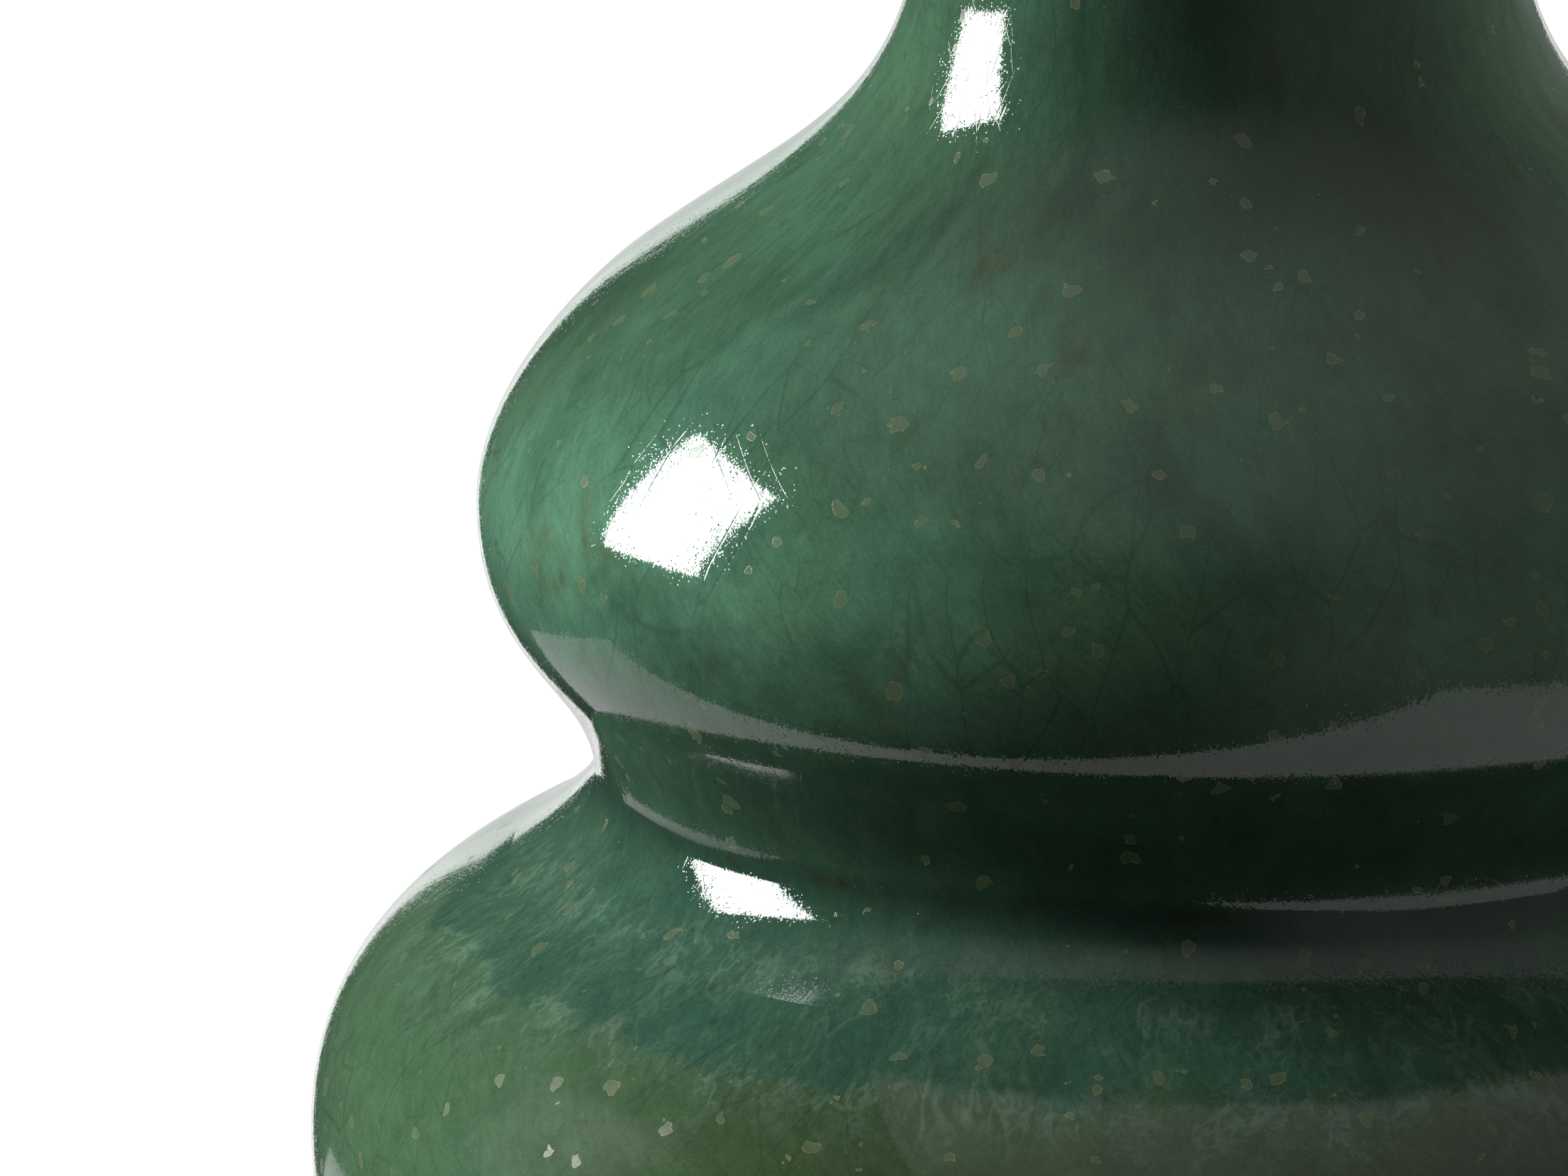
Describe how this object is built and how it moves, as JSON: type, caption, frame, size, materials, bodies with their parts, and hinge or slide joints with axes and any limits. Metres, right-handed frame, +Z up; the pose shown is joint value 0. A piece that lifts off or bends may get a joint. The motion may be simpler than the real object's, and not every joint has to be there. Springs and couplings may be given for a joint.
{
  "type": "vase",
  "caption": "Double-gourd stoneware vase: wide lower bulb, smaller upper bulb above a creased waist, short neck with rolled lip, foot ring, green crackle glaze.",
  "frame": {"origin": "centre of the foot ring's resting face", "axes": "+Z up along the turning axis, towards the mouth; X and Y are free because the vase is a solid of revolution"},
  "size_m": [0.29, 0.29, 0.3391],
  "materials": {
    "fired_clay": "bare fired stoneware",
    "luting_clay": "bare fired slip",
    "crackle_glaze": "glossy green crackle glaze",
    "base_glaze": "glossy thin green glaze"
  },
  "bodies": {
    "root": {"foot_ring": "fired_clay", "lower_bowl": "fired_clay", "lower_belly": "fired_clay", "lower_shoulder": "fired_clay", "waist_shoulder": "fired_clay", "upper_bowl": "fired_clay", "upper_shoulder": "fired_clay", "neck_root": "fired_clay", "neck": "fired_clay", "foot_luting_coil": "luting_clay", "belly_luting_coil": "luting_clay", "waist_luting_coil": "luting_clay", "upper_belly_luting_coil": "luting_clay", "neck_luting_coil": "luting_clay", "glaze_coat": "crackle_glaze", "base_glaze": "base_glaze"}
  },
  "joints": []
}
